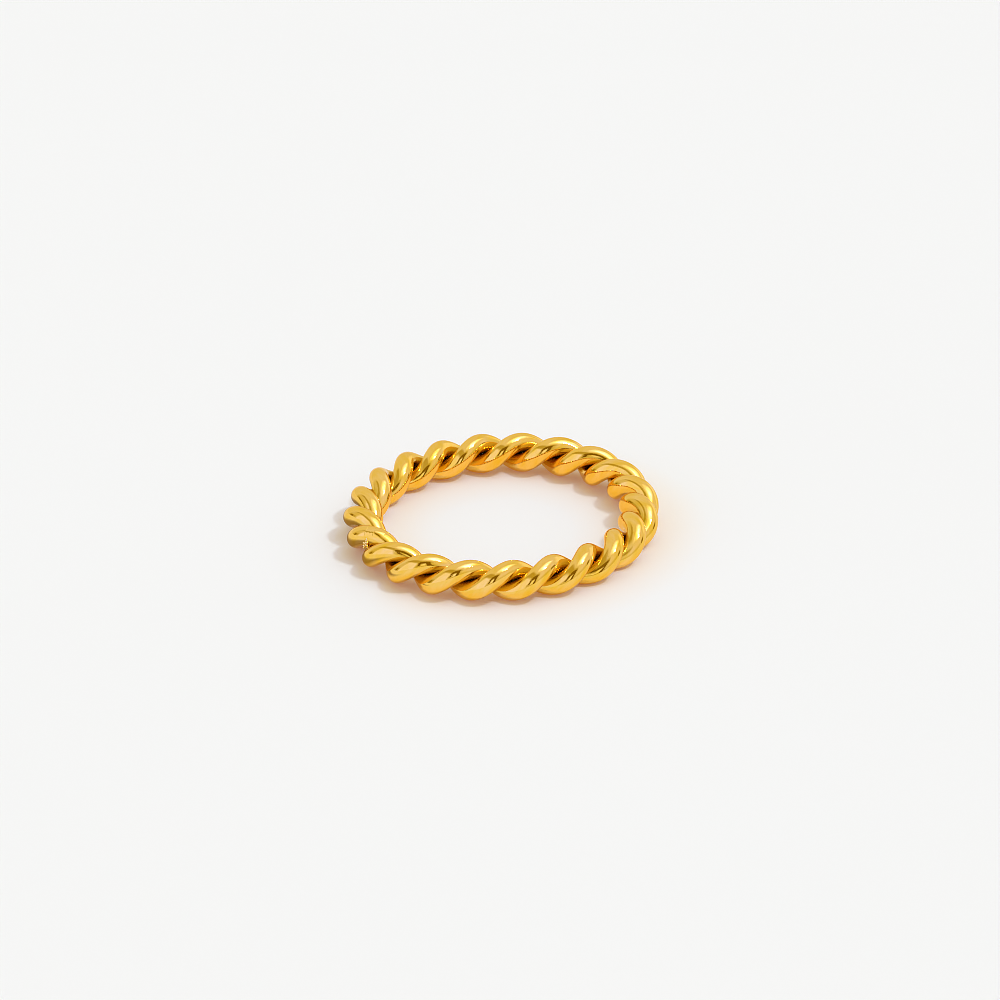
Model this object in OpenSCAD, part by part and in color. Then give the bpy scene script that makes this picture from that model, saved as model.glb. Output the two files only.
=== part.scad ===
// Rope twist ring: two round wires twisted into a rope, bent round and soldered end to end.
// The ring lies flat. The origin is the centre of the ring, on the surface that it lies on,
// and +Z points up along the ring's axis. Millimetres.

/* [Ring] */
// Diameter of the finger hole, between the innermost points of the wires
bore_d = 17.3; // [14:0.1:22]
// Thickness of the wire
wire_d = 1.45; // [1.1:0.05:1.75]

/* [Twist] */
// Number of times that the wires cross on the way round the ring
crossings = 21; // [14:1:24]
// Hairline gap between the two wires
wire_gap = 0.03; // [0.02:0.01:0.1]
// Turn of the rope at the ring's +X side, in degrees
twist_phase = -58; // [-180:1:180]

/* [Solder] */
// Place of the soldered seam round the ring, in degrees from +X
seam_angle = 203; // [0:1:360]
// Length of the solder along the ring
seam_length = 1.2; // [0.6:0.1:3]
// Share of the depth of the grooves between the wires that the solder fills
solder_fill = 0.8; // [0.4:0.05:0.95]

/* [Hidden] */

// Radius of the helix that the middle of each wire follows round the middle of the rope
helix_r = (wire_d + wire_gap) / 2;
// Thickness of the whole rope
rope_d = 2 * helix_r + wire_d;
// Radius of the circle that the middle of the rope follows
ring_r = (bore_d + rope_d) / 2;
// Full turns of the twist in one round of the ring
turns = crossings / 2;
// An odd number of crossings brings each wire to the other one's start, so that the two
// become one closed loop of two rounds. An even number leaves two loops of one round.
loops = crossings % 2 == 0 ? 2 : 1;
rounds = 2 / loops;

// Sides of the wire, cross sections in one full turn of the twist, and all those of a loop
wire_sides = 16;
turn_steps = 16;
loop_steps = round(rounds * turns * turn_steps);

// The solder is a chain of beads in each groove, thinner towards its ends
groove_beads = 5;
bead_sides = 12;
bead_thinning = 0.3;
bead_d = solder_fill * wire_d / 2;
// Angle round the ring from the seam to the last bead
seam_reach = (seam_length - bead_d) / 2 / ring_r * 180 / PI;

function unit(v) = v / norm(v);

// Turn of the twist at an angle round the ring
function twist(angle) = turns * angle + twist_phase;

// Middle of the rope at an angle round the ring
function rope_middle(angle) = [ring_r * cos(angle), ring_r * sin(angle), rope_d / 2];

// A point at a distance from the middle of the rope, in the direction of a turn of the twist
function beside_rope(angle, distance, turn) =
    rope_middle(angle) + distance * [cos(turn) * cos(angle), cos(turn) * sin(angle), sin(turn)];

// Middle of the wire at an angle round the ring
function wire_middle(angle, start) = beside_rope(angle, helix_r, twist(angle) + start);

// Direction in which the wire runs
function wire_run(angle, start) =
    let (step = 0.01)
    unit(wire_middle(angle + step, start) - wire_middle(angle - step, start));

// Points round the wire, the first of them on the side that faces the middle of the rope
function wire_section(angle, start) =
    let (
        middle = wire_middle(angle, start),
        run = wire_run(angle, start),
        inward = rope_middle(angle) - middle,
        facing = unit(inward - (inward * run) * run),
        across = cross(run, facing)
    )
    [for (i = [0:wire_sides - 1])
        let (turn = 360 * i / wire_sides)
        middle + wire_d / 2 * (cos(turn) * facing + sin(turn) * across)];

// One closed loop of wire. Each four-sided patch of its skin is cut into two triangles.
module wire_loop(start) {
    points = [for (s = [0:loop_steps - 1]) each wire_section(360 * rounds * s / loop_steps, start)];
    faces = [
        for (s = [0:loop_steps - 1], i = [0:wire_sides - 1])
            let (
                here = s * wire_sides,
                ahead = (s + 1) % loop_steps * wire_sides,
                next = (i + 1) % wire_sides
            )
            each [[here + i, ahead + i, ahead + next], [here + i, ahead + next, here + next]]
    ];
    polyhedron(points, faces);
}

// Solder drawn into one of the two grooves between the wires
module groove_solder(side) {
    // From -1 at the first bead to 1 at the last
    function place(i) = 2 * i / (groove_beads - 1) - 1;
    module bead(i) {
        angle = seam_angle + place(i) * seam_reach;
        translate(beside_rope(angle, bead_d / 2, twist(angle) + side * 90))
            sphere(d = bead_d * (1 - bead_thinning * pow(place(i), 2)), $fn = bead_sides);
    }
    for (i = [0:groove_beads - 2])
        hull() {
            bead(i);
            bead(i + 1);
        }
}

// Solder that closes the ends of the wires and bridges the hairline gap between them
module solder_seam() {
    groove_solder(1);
    groove_solder(-1);
}

module twist_band() {
    color([0.9, 0.72, 0.32])
        union() {
            for (i = [0:loops - 1])
                wire_loop(180 * i);
            solder_seam();
        }
}

twist_band();
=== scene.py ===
"""Looks of the rope twist ring: polished wires, soldered seam, floor, studio and camera."""

import math

import bmesh
import bpy
import numpy as np
from mathutils import Matrix, Vector


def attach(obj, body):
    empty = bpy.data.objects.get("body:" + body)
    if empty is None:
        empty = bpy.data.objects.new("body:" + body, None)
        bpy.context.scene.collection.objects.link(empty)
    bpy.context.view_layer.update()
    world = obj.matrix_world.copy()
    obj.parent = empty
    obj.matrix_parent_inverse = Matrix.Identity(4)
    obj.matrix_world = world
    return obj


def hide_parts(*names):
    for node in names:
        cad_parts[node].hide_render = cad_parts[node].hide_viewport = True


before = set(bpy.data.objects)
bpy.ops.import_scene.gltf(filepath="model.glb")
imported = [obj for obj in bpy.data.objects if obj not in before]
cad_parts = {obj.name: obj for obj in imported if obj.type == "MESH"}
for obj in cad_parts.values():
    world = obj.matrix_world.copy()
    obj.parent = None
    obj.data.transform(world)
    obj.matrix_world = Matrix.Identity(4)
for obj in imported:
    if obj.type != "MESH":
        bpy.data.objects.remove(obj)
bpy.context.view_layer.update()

MM = 0.001
# Largest exponent of a soft step, which is flat long before it
EXPONENT_LIMIT = 50

# Ring, with the driving sizes of the part's source, in millimetres and degrees
BORE_D = 17.3
WIRE_D = 1.45
WIRE_GAP = 0.03
CROSSINGS = 21
TWIST_PHASE = -58
HELIX_R = (WIRE_D + WIRE_GAP) / 2
ROPE_D = 2 * HELIX_R + WIRE_D
RING_R = (BORE_D + ROPE_D) / 2
TURNS = CROSSINGS / 2
ROUND_DEG = 360
LOOP_DEG = 2 * ROUND_DEG

# Mesh of the wire. Where its two rounds lie against each other it is swollen until they all but touch.
LOOP_STEPS = 1900
WIRE_SIDES = 44
RUN_STEP = 0.01
INNER_SIDE = 180
CONTACT_GAP = 0.001
CONTACT_SWELL = (WIRE_GAP - CONTACT_GAP) / 2
CONTACT_SPREAD = 32
GROOVE_SPREAD = 70

# Joint of the wire's two ends, as an angle along the loop. The start of the wire sits a little lower and
# further out than its end, and settles into its place over the next few degrees.
JOINT_ANGLE = 561.5
JOINT_STEP = (0.01, -0.03)
JOINT_SETTLE = 9
JOINT_RISE = 0.12
JOINT_STEPS = 260
JOINT_REACH = 5.2

# Solder left on the wire's upper side: a rippled film from the joint on, and then a lump with a long back.
# Both have a steep front.
SOLDER_FRONT = 0.06
FILM_HEIGHT = 0.02
FILM_RIPPLES = 2.6
FILM_RIPPLE_SHARE = 0.3
LUMP_HEIGHT = 0.1
LUMP_START = 2.3
LUMP_END = 4.9
LUMP_MIDDLE = 42
LUMP_SPREAD = 24

# Solder in the two grooves at the joint: angle round the ring, side of the groove, distance out from the
# middle of the rope, offset towards the upper wire, and radius
SOLDER_BEADS = [
    (201.7, 1, 0.40, 0.00, 0.30),
    (202.3, 1, 0.38, 0.02, 0.29),
    (204.2, 1, 0.81, 0.62, 0.10),
    (204.3, 1, 0.80, 0.46, 0.13),
    (204.3, 1, 0.75, 0.30, 0.15),
    (204.0, 1, 0.66, 0.12, 0.16),
    (203.0, 1, 0.75, 0.34, 0.13),
    (202.3, 1, 0.67, 0.12, 0.15),
    (201.5, 1, 0.65, -0.02, 0.14),
    (202.3, -1, 0.28, 0.00, 0.27),
    (203.3, -1, 0.30, 0.00, 0.28),
    (204.3, -1, 0.24, 0.00, 0.24),
]
BEAD_SUBDIVISIONS = 3
SOLDER_VOXEL = 0.025
SOLDER_SMOOTHING = 3

# Gold and solder, with sizes, heights and depths of the relief in millimetres
GOLD_DEEP = (0.9, 0.57, 0.045, 1)
GOLD_PALE = (0.94, 0.64, 0.185, 1)
SOLDER_PALE = (0.97, 0.8, 0.42, 1)
EDGE_TINT = (0.92, 0.83, 0.66, 1)
# Painted brown shade for the grooves between the wire's rounds
GROOVE_SHADE_BROWN = (0.55, 0.41, 0.045, 1)
POLISH = (0.04, 0.09)
SOLDER_POLISH = (0.1, 0.24)
GROOVE_ROUGHNESS = 0.22
PIT_ROUGHNESS = 0.1
CLOUD_SIZE = 0.55
WOBBLE_SIZE = 0.42
WOBBLE_HEIGHT = 0.007
LINE_SIZE = 0.1
LINE_HEIGHT = 0.0016
HAZE_SIZE = 0.3
GRAIN_SIZE = 0.06
GRAIN_HEIGHT = 0.0004
PIT_SIZE = 0.11
PIT_DEPTH = 0.0015
WRINKLE_SIZE = 0.14
WRINKLE_HEIGHT = 0.009
# How far the patterns are drawn out along the wire, and how many finer layers their noise has
CLOUD_STRETCH = (2, 1, 1)
LINE_STRETCH = (14, 1, 1)
SMOOTH_DETAIL = 1
FINE_DETAIL = 3
# Parts of the noises' ranges that are used
CLOUD_RANGE = (0.3, 0.7)
HAZE_RANGE = (0.35, 0.75)
PIT_RANGE = (0.66, 0.78)
# Painted brown shade in the grooves: where it starts and is full, how much there is of it, and how uneven it
# is
GROOVE_SHADE_RANGE = (0.16, 1.05)
GROOVE_SHADE_SHARE = (0, 0.95)
GROOVE_SHADE_HAZE = 0.1

# Floor, in millimetres
FLOOR_HALF = 3000
FLOOR_COLOUR = (0.618, 0.791, 0.683, 1)
FLOOR_CLOUD_SIZE = 60
FLOOR_CLOUD_SHARE = (1.01, 1.01, 1.01)
FLOOR_ROUGHNESS = 0.9
# Painted warm glow of the floor's own, which lightens its shadows
FLOOR_GLOW = (0.19, 0.045, 0.03, 1)
# Painted warm light in the floor's colour beside the ring, as the gold throws it, but for the shaded left
# side
GOLD_LIT_SHARE = (1.04, 0.965, 0.89)
GOLD_LIT_REACH = (1.5, 5.0)
GOLD_LIT_SIDE = (-10.0, -7.0)
# Painted reflection of the floor, as the polished gold shows it, evener than the shaded floor that the
# camera sees: its pale part, its warm part of painted light, its dim part of painted shade, how far they
# replace the shaded floor, and their edges
SEEN_PALE = (0.98, 0.9, 0.82, 1)
SEEN_WARM = (1.06, 0.77, 0.43, 1)
SEEN_DIM = (0.32, 0.22, 0.12, 1)
SEEN_SHARE = (0.1, 0.85)
FOOT_EDGE = (0.95, 1.4)
WARM_REACH = (1.4, 4.0)
WARM_SHARE = 0.6
INSIDE_EDGE = (RING_R - 0.4, RING_R + 0.2)
DIM_SIDE = (-9.3, -10.8)
DIM_REACH = (13.0, 15.0)

# Camera, in millimetres, degrees and pixels of the 1000 pixel frame
IMAGE_PX = 1000
CAMERA_ELEVATION = 27.5
CAMERA_ROLL = 2.18
CAMERA_DISTANCE = 420
SENSOR_W = 36
PX_PER_MM = 13.69
RING_CENTRE_PX = (501.4, 515.1)
CAMERA_CLIP = (10, 20000)

# Studio: name, brightness, width of the soft edge, and corners as azimuth and elevation in degrees.
# Azimuth 0 is to the right of the ring, 90 behind it and -90 towards the camera. Later panels lie over
# earlier ones.
DOME_LEVEL = 0.82
BACKDROP_LEVEL = 0.9
PALE_LEVEL = 0.85
PANELS = [
    ("right_wall", 1.06, 0.12, [(28, -12), (66, -12), (60, 26), (24, 22)]),
    ("front_right", 0.8, 0.1, [(-64, -12), (10, -12), (14, 52), (-58, 52)]),
    ("front_right_low", 0.75, 0.1, [(-66, -12), (4, -12), (4, 14), (-66, 14)]),
    ("left_wall", 0.93, 0.05, [(180, -12), (-112, -12), (-118, 42), (-178, 50)]),
    ("back_left", 0.72, 0.1, [(150, -12), (178, -12), (176, 42), (146, 42)]),
    ("back_left_low", 0.56, 0.08, [(151, -12), (178, -12), (178, 16), (151, 14)]),
    ("back_left_dark", 0.3, 0.04, [(159, -12), (168, -12), (168, 12), (159, 12)]),
    ("right_stand", 0.34, 0.05, [(-5, -12), (12, -12), (12, 14), (-4, 14)]),
    ("left_gap", 0.53, 0.07, [(150, 36), (150, 52), (-100, 62), (-104, 42)]),
    ("under_camera", 0.68, 0.08, [(-114, -12), (-66, -12), (-66, 36), (-112, 36)]),
    ("camera_shade", 0.56, 0.08, [(-116, 37), (-62, 36), (-62, 52), (-90, 62), (-118, 60)]),
    ("camera_opening", 0.25, 0.02, [(-112, 33), (-72, 32), (-68, 46), (-88, 54), (-112, 53)]),
    ("camera_left_leg", 0.2, 0.015, [(-107, 12), (-100, 12), (-99, 38), (-108, 38)]),
    ("camera_right_leg", 0.22, 0.015, [(-82, 3), (-73, 3), (-72, 38), (-85, 38)]),
    ("camera_front", 1.0, 0.015, [(-96, 10), (-86, 10), (-84, 30), (-94, 30)]),
    (
        "key_glow", 1.18, 0.1,
        [(-124, 78), (-73, 66), (-30, 50), (6, 46), (50, 27), (62, 37), (67, 77), (122, 82)],
    ),
    ("key", 1.5, 0.06, [(-63, 83), (-48, 60), (-31, 53), (3, 52), (33, 45), (40, 50), (36, 72)]),
    ("key_core", 2.5, 0.05, [(-20, 79), (-42, 60), (-31, 54), (11, 55), (19, 60)]),
]
# Compact lamp in front of the soft key light, which draws the shadow's crisp edge
LAMP_DIRECTION = (-20, 55.3)
LAMP_WIDTH = 6.5
LAMP_POWER = 0.85
LAMP_COLOUR = (1.06, 1.02, 1.3)
# Tint of all panels, but for the two that have one of their own
STUDIO_TINT = (1.065, 1, 1)
PANEL_TINTS = {"left_wall": (1.1, 1.06, 1.5), "front_right": (1.15, 1.08, 1.5)}
# Powers that tint the panels by their ratio to the pale level too, up to a largest ratio: the dim ones are
# brown, and the bright ones bluish
DIM_POWERS = (1, 1.32, 4)
BRIGHT_POWERS = (1, 1.05, 1.75)
BRIGHTEST_RATIO = 2.5

# Finish of the picture
DISPLAY_GAMMA = 2.2
SHARPENING = 0.05
GLOSSY_BOUNCES = 10
PIXEL_FILTER = 1.0


def unit_vectors(v):
    """Each row of an array at length 1."""
    return v / np.linalg.norm(v, axis=-1, keepdims=True)


def link(obj):
    """Puts an object into the scene."""
    bpy.context.scene.collection.objects.link(obj)
    return obj


def mesh_object(name, points, faces, material):
    """A smooth mesh from points in millimetres."""
    mesh = bpy.data.meshes.new(name)
    mesh.from_pydata((np.asarray(points) * MM).tolist(), [], faces)
    mesh.update()
    mesh.shade_smooth()
    mesh.materials.append(material)
    return link(bpy.data.objects.new(name, mesh))


def hump(place, middle, spread):
    """Smooth hump of height 1."""
    return np.exp(-(((place - middle) / spread) ** 2))


def soft_step(past, edge):
    """Smooth step from 0 to 1 where past is 0."""
    return 1 / (1 + np.exp(-np.clip(past / edge, -EXPONENT_LIMIT, EXPONENT_LIMIT)))


# Wire

def rope_middle(angle):
    """Middle of the rope at angles round the ring, in degrees."""
    a = np.radians(angle)
    return np.stack([RING_R * np.cos(a), RING_R * np.sin(a), np.full_like(a, ROPE_D / 2)], axis=-1)


def wire_middle(angle):
    """Middle of the wire, which closes on itself after two rounds of the ring."""
    a = np.radians(angle)
    turn = np.radians(TURNS * angle + TWIST_PHASE)
    beside = np.stack([np.cos(turn) * np.cos(a), np.cos(turn) * np.sin(a), np.sin(turn)], axis=-1)
    return rope_middle(angle) + HELIX_R * beside


def wire_radius(around):
    """Radius of the wire at angles round its section, where 0 faces away from the rope's middle."""
    return WIRE_D / 2 + CONTACT_SWELL * hump(around, INNER_SIDE, CONTACT_SPREAD)


def loop_angles():
    """Angles along the loop, from the joint once round to it, closer together near it."""
    even = JOINT_ANGLE + np.linspace(0, LOOP_DEG, LOOP_STEPS, endpoint=False)
    near = np.linspace(0, JOINT_REACH, JOINT_STEPS // 2, endpoint=False)
    return np.union1d(even, np.concatenate([JOINT_ANGLE + near, JOINT_ANGLE + LOOP_DEG - near[1:]]))


def joint_shift(angle):
    """How far the wire's middle is moved after the joint, outwards from the ring's middle and upwards."""
    past = angle - JOINT_ANGLE
    share = (1 - np.exp(-((past / JOINT_RISE) ** 2))) * np.exp(-past / JOINT_SETTLE)
    a = np.radians(angle)
    out, up = JOINT_STEP
    return share[:, None] * np.stack([out * np.cos(a), out * np.sin(a), np.full_like(a, up)], axis=-1)


def solder_film(angle, around):
    """Height of the solder on the wire."""
    past = (angle - JOINT_ANGLE + LOOP_DEG / 2) % LOOP_DEG - LOOP_DEG / 2
    start = soft_step(past, SOLDER_FRONT)
    front = soft_step(past - LUMP_START, SOLDER_FRONT)
    back = np.clip((LUMP_END - past) / (LUMP_END - LUMP_START), 0, 1)
    ripples = 1 + FILM_RIPPLE_SHARE * np.sin(2 * math.pi * FILM_RIPPLES * past / LUMP_START)
    height = FILM_HEIGHT * start * (1 - front) * ripples + LUMP_HEIGHT * front * back
    return height[:, None] * hump(around, LUMP_MIDDLE, LUMP_SPREAD)[None, :]


def wire_frame(angle):
    """Middle of the wire, and the directions away from the rope's middle and across the wire."""
    middle = wire_middle(angle)
    run = unit_vectors(wire_middle(angle + RUN_STEP) - wire_middle(angle - RUN_STEP))
    outward = middle - rope_middle(angle)
    outward = unit_vectors(outward - (outward * run).sum(-1, keepdims=True) * run)
    return middle, outward, np.cross(run, outward)


def wire_faces(steps):
    """Four-sided faces between the wire's sections, the last of which joins the first."""
    return [
        (
            s * WIRE_SIDES + i,
            (s + 1) % steps * WIRE_SIDES + i,
            (s + 1) % steps * WIRE_SIDES + (i + 1) % WIRE_SIDES,
            s * WIRE_SIDES + (i + 1) % WIRE_SIDES,
        )
        for s in range(steps)
        for i in range(WIRE_SIDES)
    ]


def straight_wire(middle, turn):
    """Places of the wire's points if it were drawn out straight along X."""
    places = np.empty((len(middle), WIRE_SIDES, 3))
    length = np.concatenate([[0], np.cumsum(np.linalg.norm(np.diff(middle, axis=0), axis=-1))])
    places[..., 0] = length[:, None]
    places[..., 1] = WIRE_D / 2 * np.cos(turn)
    places[..., 2] = WIRE_D / 2 * np.sin(turn)
    return places


def wire_loop(material):
    """The one closed loop of round wire."""
    angle = loop_angles()
    middle, outward, across = wire_frame(angle)
    around = np.arange(WIRE_SIDES) * ROUND_DEG / WIRE_SIDES
    turn = np.radians(around)
    normal = outward[:, None] * np.cos(turn)[None, :, None] + across[:, None] * np.sin(turn)[None, :, None]
    radius = wire_radius(around)[None, :] + solder_film(angle, around)
    points = (middle + joint_shift(angle))[:, None] + radius[..., None] * normal
    wire = mesh_object("wire_loop", points.reshape(-1, 3), wire_faces(len(angle)), material)
    point_values(wire, "groove", np.tile(hump(around, INNER_SIDE, GROOVE_SPREAD), len(angle)))
    point_values(wire, "straight_wire", straight_wire(middle, turn))
    return wire


def point_values(obj, name, values):
    """Numbers or vectors kept at a mesh's points, for its material to read."""
    vectors = values.ndim > 1
    layer = obj.data.attributes.new(name, "FLOAT_VECTOR" if vectors else "FLOAT", "POINT")
    layer.data.foreach_set("vector" if vectors else "value", values.ravel())


# Solder

def beside_rope(angle, distance, turn):
    """A point at a distance from the middle of the rope, in the direction of a turn of the twist."""
    a, t = math.radians(angle), math.radians(turn)
    beside = np.array([math.cos(t) * math.cos(a), math.cos(t) * math.sin(a), math.sin(t)])
    return rope_middle(angle) + distance * beside


def solder_seam(material):
    """Lumps of solder that run into each other in the grooves at the joint."""
    melt = bmesh.new()
    for angle, side, distance, offset, radius in SOLDER_BEADS:
        wire_turn = TURNS * (angle + ROUND_DEG) + TWIST_PHASE
        place = beside_rope(angle, distance, wire_turn - side * 90)
        place = place + beside_rope(angle, offset, wire_turn) - rope_middle(angle)
        bmesh.ops.create_icosphere(
            melt, subdivisions=BEAD_SUBDIVISIONS, radius=radius, matrix=Matrix.Translation(place)
        )
    mesh = bpy.data.meshes.new("solder_seam")
    melt.to_mesh(mesh)
    melt.free()
    solder = link(bpy.data.objects.new("solder_seam", mesh))
    remesh = solder.modifiers.new("fuse", "REMESH")
    remesh.mode = "VOXEL"
    remesh.voxel_size = SOLDER_VOXEL
    smooth = solder.modifiers.new("flow", "SMOOTH")
    smooth.iterations = SOLDER_SMOOTHING
    fused = bpy.data.meshes.new_from_object(solder.evaluated_get(bpy.context.evaluated_depsgraph_get()))
    solder.modifiers.clear()
    fused.transform(Matrix.Scale(MM, 4))
    fused.shade_smooth()
    fused.materials.clear()
    fused.materials.append(material)
    solder.data = fused
    return solder


# Materials

def new_node(tree, kind, **settings):
    """A new node of a kind, with its settings."""
    node = tree.nodes.new(kind)
    for name, value in settings.items():
        setattr(node, name, value)
    return node


def feed(tree, socket, value):
    """Puts a number, a colour or another node's output into a socket."""
    if isinstance(value, bpy.types.NodeSocket):
        tree.links.new(value, socket)
    else:
        socket.default_value = value


def shader(name):
    """A new material, its node tree and its Principled shader."""
    material = bpy.data.materials.new(name)
    material.use_nodes = True
    tree = material.node_tree
    return material, tree, tree.nodes["Principled BSDF"]


def feed_all(tree, node, inputs):
    """Feeds a node's inputs by their names."""
    for name, value in inputs.items():
        feed(tree, node.inputs[name], value)


def noise(tree, place, size, detail=2, stretch=(1, 1, 1)):
    """Noise with features of a size in the units of place, drawn out along its axes by stretch."""
    scaled = new_node(tree, "ShaderNodeVectorMath", operation="DIVIDE")
    feed(tree, scaled.inputs[0], place)
    feed(tree, scaled.inputs[1], stretch)
    pattern = new_node(tree, "ShaderNodeTexNoise")
    feed_all(tree, pattern, {"Vector": scaled.outputs["Vector"], "Scale": 1 / size, "Detail": detail})
    return pattern.outputs["Fac"]


def remap(tree, value, old, new, curve="LINEAR"):
    """The value with the range old carried over to the range new, and held within it."""
    ramp = new_node(tree, "ShaderNodeMapRange", interpolation_type=curve)
    feed_all(tree, ramp, {"Value": value, "From Min": old[0], "From Max": old[1]})
    feed_all(tree, ramp, {"To Min": new[0], "To Max": new[1]})
    return ramp.outputs["Result"]


def slope(tree, value, edges, levels):
    """The value's levels before and after two edges in millimetres, and an even slope between them."""
    return remap(tree, value, [edge * MM for edge in edges], levels)


def calculate(tree, operation, a, b=0):
    """The result of one of Blender's math operations."""
    node = new_node(tree, "ShaderNodeMath", operation=operation)
    feed(tree, node.inputs[0], a)
    feed(tree, node.inputs[1], b)
    return node.outputs["Value"]


def add_shares(tree, total, *shares):
    """The total with shares of other values added."""
    for value, share in shares:
        total = calculate(tree, "ADD", total, calculate(tree, "MULTIPLY", value, share))
    return total


def mix_colours(tree, factor, a, b):
    """A colour that goes from a to b as the factor goes from 0 to 1."""
    mix = new_node(tree, "ShaderNodeMix", data_type="RGBA")
    feed_all(tree, mix, {"Factor": factor, "A": a, "B": b})
    return mix.outputs["Result"]


def mix_shaders(tree, factor, a, b):
    """A shader that goes from a to b as the factor goes from 0 to 1."""
    mix = new_node(tree, "ShaderNodeMixShader")
    for socket, value in zip(mix.inputs, (factor, a, b)):
        feed(tree, socket, value)
    return mix.outputs["Shader"]


def tinted(colour, shares):
    """A colour with each channel times its share."""
    return tuple(channel * share for channel, share in zip(colour, shares)) + (1,)


def relief(tree, height):
    """Bump from a height in millimetres."""
    bump = new_node(tree, "ShaderNodeBump")
    feed_all(tree, bump, {"Distance": MM, "Height": height})
    return bump.outputs["Normal"]


def object_place(tree):
    """Places in the object's own coordinates, in metres."""
    return new_node(tree, "ShaderNodeTexCoord").outputs["Object"]


def attribute(tree, name, output):
    """Values kept at the mesh's points."""
    return new_node(tree, "ShaderNodeAttribute", attribute_name=name).outputs[output]


def gold_material():
    """Polished drawn gold wire: lines along it, haze, small pits, and painted brown shade in the grooves."""
    material, tree, principled = shader("polished_gold")
    place = object_place(tree)
    straight = attribute(tree, "straight_wire", "Vector")
    groove = attribute(tree, "groove", "Fac")
    clouds = noise(tree, straight, CLOUD_SIZE, FINE_DETAIL, CLOUD_STRETCH)
    haze = noise(tree, place, HAZE_SIZE * MM, FINE_DETAIL)
    grain = noise(tree, place, GRAIN_SIZE * MM)
    lines = noise(tree, straight, LINE_SIZE, stretch=LINE_STRETCH)
    wobble = noise(tree, straight, WOBBLE_SIZE, SMOOTH_DETAIL, CLOUD_STRETCH)
    pits = remap(tree, noise(tree, place, PIT_SIZE * MM, SMOOTH_DETAIL), PIT_RANGE, (0, 1))
    # Painted shade: the gold turns brown and rougher towards the grooves between the wire's rounds
    groove_shade = remap(tree, add_shares(tree, groove, (haze, GROOVE_SHADE_HAZE)), GROOVE_SHADE_RANGE, GROOVE_SHADE_SHARE)

    gold = mix_colours(tree, remap(tree, clouds, CLOUD_RANGE, (0, 1)), GOLD_DEEP, GOLD_PALE)
    gloss = remap(tree, haze, HAZE_RANGE, POLISH)
    height = calculate(tree, "MULTIPLY", wobble, WOBBLE_HEIGHT)
    height = add_shares(tree, height, (lines, LINE_HEIGHT), (grain, GRAIN_HEIGHT), (pits, -PIT_DEPTH))
    feed_all(tree, principled, {
        "Base Color": mix_colours(tree, groove_shade, gold, GROOVE_SHADE_BROWN),
        "Metallic": 1,
        "Roughness": add_shares(tree, gloss, (groove_shade, GROOVE_ROUGHNESS), (pits, PIT_ROUGHNESS)),
        "Specular Tint": EDGE_TINT,
        "Normal": relief(tree, height),
    })
    return material


def solder_material():
    """Gold solder: a little paler than the wire, duller, and wrinkled where it set."""
    material, tree, principled = shader("gold_solder")
    wrinkles = noise(tree, object_place(tree), WRINKLE_SIZE * MM, FINE_DETAIL)
    feed_all(tree, principled, {
        "Base Color": mix_colours(tree, wrinkles, GOLD_PALE, SOLDER_PALE),
        "Metallic": 1,
        "Roughness": remap(tree, wrinkles, CLOUD_RANGE, SOLDER_POLISH),
        "Normal": relief(tree, calculate(tree, "MULTIPLY", wrinkles, WRINKLE_HEIGHT)),
    })
    return material


def floor_places(tree, place):
    """How far a floor point is from the ring's axis, from its middle circle, and to the axis's right."""
    parts = new_node(tree, "ShaderNodeSeparateXYZ")
    feed(tree, parts.inputs["Vector"], place)
    length = new_node(tree, "ShaderNodeVectorMath", operation="LENGTH")
    feed(tree, length.inputs[0], place)
    out = length.outputs["Value"]
    off_ring = calculate(tree, "ABSOLUTE", calculate(tree, "SUBTRACT", out, RING_R * MM))
    return out, off_ring, parts.outputs["X"]


def floor_colour(tree, place, off_ring, right):
    """Colour of the floor, with painted warm light beside the ring."""
    clouds = noise(tree, place, FLOOR_CLOUD_SIZE * MM)
    colour = mix_colours(tree, clouds, FLOOR_COLOUR, tinted(FLOOR_COLOUR, FLOOR_CLOUD_SHARE))
    near = slope(tree, off_ring, GOLD_LIT_REACH, (1, 0))
    lit = calculate(tree, "MULTIPLY", near, slope(tree, right, GOLD_LIT_SIDE, (0, 1)))
    return mix_colours(tree, lit, colour, tinted(FLOOR_COLOUR, GOLD_LIT_SHARE))


def floor_in_gold(tree, out, off_ring, right):
    """Colour of the painted reflection of the floor in the gold, and how far that replaces the shaded floor.
    """
    inside = slope(tree, out, INSIDE_EDGE, (1, 0))
    side = slope(tree, right, DIM_SIDE, (0, 1))
    near = slope(tree, out, DIM_REACH, (1, 0))
    beside = slope(tree, off_ring, WARM_REACH, (WARM_SHARE, 0))
    colour = mix_colours(tree, calculate(tree, "MAXIMUM", inside, beside), SEEN_PALE, SEEN_WARM)
    colour = mix_colours(tree, calculate(tree, "MULTIPLY", side, near), colour, SEEN_DIM)
    return colour, slope(tree, off_ring, FOOT_EDGE, SEEN_SHARE)


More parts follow.
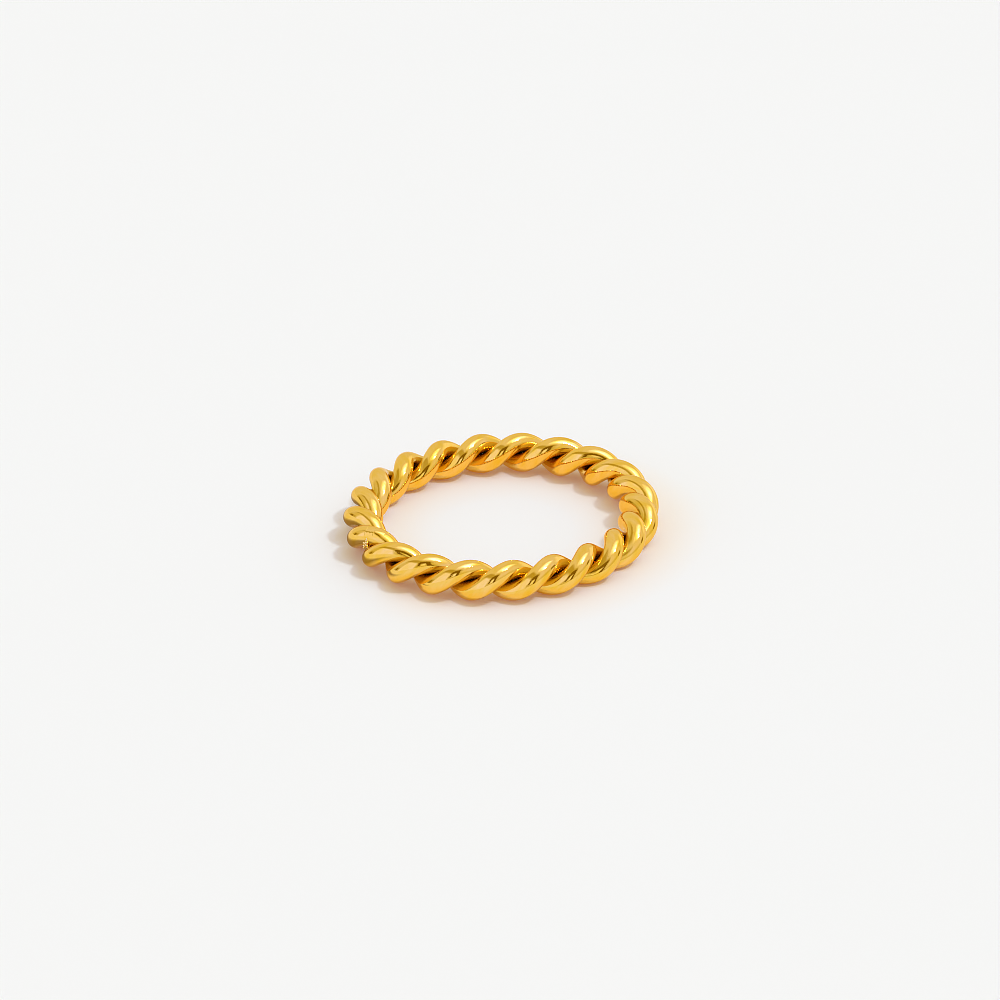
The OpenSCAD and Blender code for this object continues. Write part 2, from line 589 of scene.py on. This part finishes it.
def floor_material():
    """Matt white board with a faint unevenness and a painted warm glow. The gold sees a painted reflection
    of it, more evenly lit than the camera sees the floor.
    """
    material, tree, principled = shader("pale_floor")
    place = object_place(tree)
    out, off_ring, right = floor_places(tree, place)
    feed_all(tree, principled, {
        "Base Color": floor_colour(tree, place, off_ring, right),
        "Roughness": FLOOR_ROUGHNESS,
        "Specular IOR Level": 0,
        # Painted warm glow, which lightens the floor's shadows
        "Emission Color": FLOOR_GLOW,
        "Emission Strength": 1,
    })
    # Painted reflection: glossy rays from the gold see this emission in place of the shaded floor
    seen_colour, seen_share = floor_in_gold(tree, out, off_ring, right)
    even = new_node(tree, "ShaderNodeEmission")
    feed(tree, even.inputs["Color"], seen_colour)
    reflected = new_node(tree, "ShaderNodeLightPath").outputs["Is Glossy Ray"]
    share = calculate(tree, "MULTIPLY", reflected, seen_share)
    surface = mix_shaders(tree, share, principled.outputs["BSDF"], even.outputs["Emission"])
    feed(tree, tree.nodes["Material Output"].inputs["Surface"], surface)
    return material


# Studio

def direction(azimuth, elevation):
    """Direction from an azimuth and an elevation in degrees."""
    a, e = math.radians(azimuth), math.radians(elevation)
    return Vector((math.cos(e) * math.cos(a), math.cos(e) * math.sin(a), math.sin(e)))


def panel_colour(level, tint=STUDIO_TINT):
    """Colour of a panel. The dim parts of the studio are brown and the bright ones bluish."""
    ratio = min(level / PALE_LEVEL, BRIGHTEST_RATIO)
    powers = DIM_POWERS if ratio < 1 else BRIGHT_POWERS
    return tinted([level * ratio ** (power - 1) for power in powers], tint)


def panel_mask(tree, look, corners, softness):
    """Socket that is 1 where the direction looked in is inside the panel's corners, and 0 outside."""
    rays = [direction(*c) for c in corners]
    middle = sum(rays, Vector()).normalized()
    mask = None
    for a, b in zip(rays, rays[1:] + rays[:1]):
        edge = a.cross(b).normalized()
        if edge.dot(middle) < 0:
            edge.negate()
        side = new_node(tree, "ShaderNodeVectorMath", operation="DOT_PRODUCT")
        feed(tree, side.inputs[0], look)
        feed(tree, side.inputs[1], edge)
        inside = remap(tree, side.outputs["Value"], (-softness, softness), (0, 1), "SMOOTHSTEP")
        mask = inside if mask is None else calculate(tree, "MULTIPLY", mask, inside)
    return mask


def make_studio():
    """Soft panels of light and shade round the ring. The camera itself sees a plain backdrop."""
    world = bpy.data.worlds.new("studio")
    bpy.context.scene.world = world
    world.use_nodes = True
    tree = world.node_tree
    look = new_node(tree, "ShaderNodeTexCoord").outputs["Generated"]
    colour = panel_colour(DOME_LEVEL)
    for name, level, softness, corners in PANELS:
        panel = panel_colour(level, PANEL_TINTS.get(name, STUDIO_TINT))
        colour = mix_colours(tree, panel_mask(tree, look, corners, softness), colour, panel)
    light = tree.nodes["Background"]
    feed(tree, light.inputs["Color"], colour)
    backdrop = new_node(tree, "ShaderNodeBackground")
    feed(tree, backdrop.inputs["Color"], panel_colour(BACKDROP_LEVEL))
    looked_at = new_node(tree, "ShaderNodeLightPath").outputs["Is Camera Ray"]
    seen = mix_shaders(tree, looked_at, light.outputs["Background"], backdrop.outputs["Background"])
    feed(tree, tree.nodes["World Output"].inputs["Surface"], seen)


def make_lamp():
    """The compact lamp of the studio."""
    data = bpy.data.lights.new("key_lamp", "SUN")
    data.energy = LAMP_POWER
    data.color = LAMP_COLOUR
    data.angle = math.radians(LAMP_WIDTH)
    lamp = link(bpy.data.objects.new("key_lamp", data))
    lamp.rotation_euler = direction(*LAMP_DIRECTION).to_track_quat("Z", "Y").to_euler()


def make_sharpening():
    """Crisp edges like the photo's: whites are held, and the picture is sharpened in its display tones."""
    scene = bpy.context.scene
    scene.use_nodes = True
    tree = scene.node_tree
    held = new_node(tree, "CompositorNodeMixRGB", blend_type="MULTIPLY", use_clamp=True)
    feed(tree, held.inputs[1], tree.nodes["Render Layers"].outputs["Image"])
    feed(tree, held.inputs[2], (1, 1, 1, 1))
    tones = new_node(tree, "CompositorNodeGamma")
    feed_all(tree, tones, {"Image": held.outputs["Image"], "Gamma": 1 / DISPLAY_GAMMA})
    crisp = new_node(tree, "CompositorNodeFilter", filter_type="SHARPEN")
    feed_all(tree, crisp, {"Image": tones.outputs["Image"], "Fac": SHARPENING})
    light = new_node(tree, "CompositorNodeGamma")
    feed_all(tree, light, {"Image": crisp.outputs["Image"], "Gamma": DISPLAY_GAMMA})
    feed(tree, tree.nodes["Composite"].inputs["Image"], light.outputs["Image"])


def make_floor():
    """The pale floor that the ring lies on."""
    half = FLOOR_HALF
    corners = [(-half, -half, 0), (half, -half, 0), (half, half, 0), (-half, half, 0)]
    floor = mesh_object("floor", corners, [(0, 1, 2, 3)], floor_material())


def make_camera():
    """A long lens at the photo's angle, aimed so that the ring's middle falls on its place in the frame."""
    data = bpy.data.cameras.new("camera")
    camera = link(bpy.data.objects.new("camera", data))
    e, roll = math.radians(CAMERA_ELEVATION), math.radians(CAMERA_ROLL)
    back = Vector((0, -math.cos(e), math.sin(e)))
    level_up = Vector((0, math.sin(e), math.cos(e)))
    right = Vector((math.cos(roll), 0, 0)) - math.sin(roll) * level_up
    up = Vector((math.sin(roll), 0, 0)) + math.cos(roll) * level_up
    ring_middle = Vector((0, 0, ROPE_D / 2))
    aim = (
        ring_middle
        - (RING_CENTRE_PX[0] - IMAGE_PX / 2) / PX_PER_MM * right
        + (RING_CENTRE_PX[1] - IMAGE_PX / 2) / PX_PER_MM * up
    )
    turn = Matrix((right, up, back)).transposed().to_4x4()
    camera.matrix_world = Matrix.Translation((aim + CAMERA_DISTANCE * back) * MM) @ turn
    data.sensor_width = SENSOR_W
    data.lens = SENSOR_W * CAMERA_DISTANCE * PX_PER_MM / IMAGE_PX
    data.clip_start, data.clip_end = (distance * MM for distance in CAMERA_CLIP)
    bpy.context.scene.camera = camera


for piece in (wire_loop(gold_material()), solder_seam(solder_material())):
    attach(piece, "root")
    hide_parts("twist_band")

make_floor()
make_studio()
make_lamp()
make_camera()
make_sharpening()
bpy.context.scene.view_settings.view_transform = "Standard"
bpy.context.scene.cycles.sample_clamp_indirect = 0
bpy.context.scene.cycles.glossy_bounces = GLOSSY_BOUNCES
bpy.context.scene.cycles.filter_width = PIXEL_FILTER
